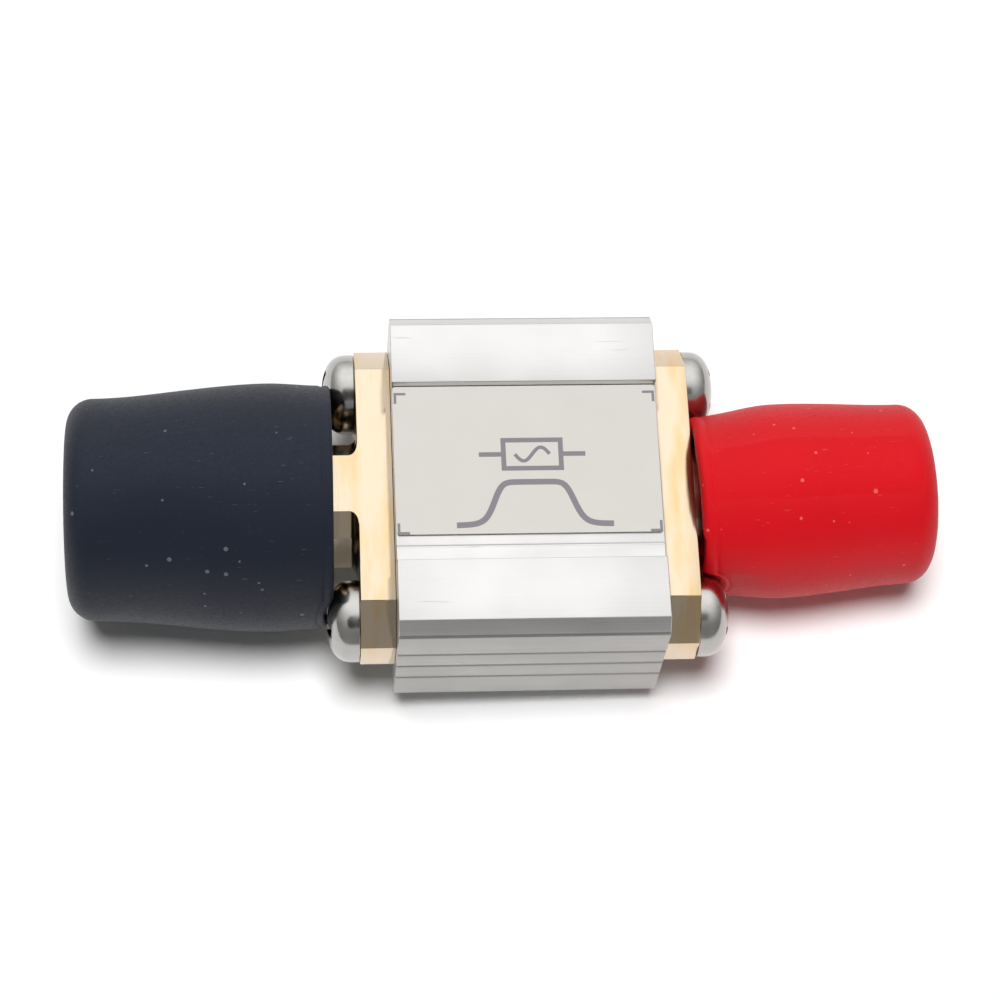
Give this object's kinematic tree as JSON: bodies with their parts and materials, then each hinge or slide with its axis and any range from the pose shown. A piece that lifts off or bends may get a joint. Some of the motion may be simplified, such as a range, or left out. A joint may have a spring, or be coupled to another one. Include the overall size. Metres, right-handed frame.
{
  "type": "rf bandpass filter",
  "caption": "In-line coaxial bandpass filter: grooved aluminium housing, gold-plated flanged plug and socket ends, pull-off vinyl caps.",
  "frame": {"origin": "on the signal axis, half way between the outer ends of the two caps", "axes": "+X along the signal axis towards the socket and its red cap, +Z out of the labelled face, +Y across the housing"},
  "size_m": [0.0428, 0.017, 0.0122],
  "materials": {
    "brushed_aluminium": "brushed along the signal axis",
    "label_foil": "printed matte film",
    "board_laminate": "solder-masked laminate",
    "chip_ceramic": "fired ceramic",
    "chip_ferrite": "fired ferrite",
    "tin_solder": "reflowed tin",
    "gold_plating": "gold plated over milled brass",
    "white_dielectric": "turned fluoropolymer",
    "spring_bronze": "bare spring bronze",
    "silicone_rubber": "moulded silicone",
    "nickel_plated_steel": "polished nickel plating",
    "black_vinyl": "dipped vinyl, matte",
    "red_vinyl": "dipped vinyl, matte"
  },
  "bodies": {
    "filter_body": {"housing": "brushed_aluminium", "label": "label_foil", "circuit_board": "board_laminate", "ceramic_filter": "chip_ceramic", "plug_capacitor": "chip_ceramic", "socket_capacitor": "chip_ceramic", "plug_inductor": "chip_ferrite", "socket_inductor": "chip_ferrite", "plug_solder_joint": "tin_solder", "socket_solder_joint": "tin_solder", "plug_body": "gold_plating", "plug_dielectric": "white_dielectric", "plug_pin": "gold_plating", "retaining_ring": "spring_bronze", "plug_gasket": "silicone_rubber", "socket_body": "gold_plating", "socket_dielectric": "white_dielectric", "socket_contact": "gold_plating", "flange_screw_plug_far": "nickel_plated_steel", "flange_screw_plug_near": "nickel_plated_steel", "flange_screw_socket_far": "nickel_plated_steel", "flange_screw_socket_near": "nickel_plated_steel"},
    "nut": {"coupling_nut": "gold_plating"},
    "black_cap": {"black_cap": "black_vinyl"},
    "red_cap": {"red_cap": "red_vinyl"}
  },
  "joints": [
    {"name": "nut_turn", "type": "hinge", "parent": "filter_body", "child": "nut", "pos_m": [-0.00898, 0, 0], "axis": [-1, 0, 0], "continuous": true},
    {"name": "black_cap_pull", "type": "slide", "parent": "filter_body", "child": "black_cap", "axis": [-1, 0, 0], "range_m": [0, 0.012]},
    {"name": "red_cap_pull", "type": "slide", "parent": "filter_body", "child": "red_cap", "axis": [0.9987, 0.0506, 0], "range_m": [0, 0.012]}
  ]
}
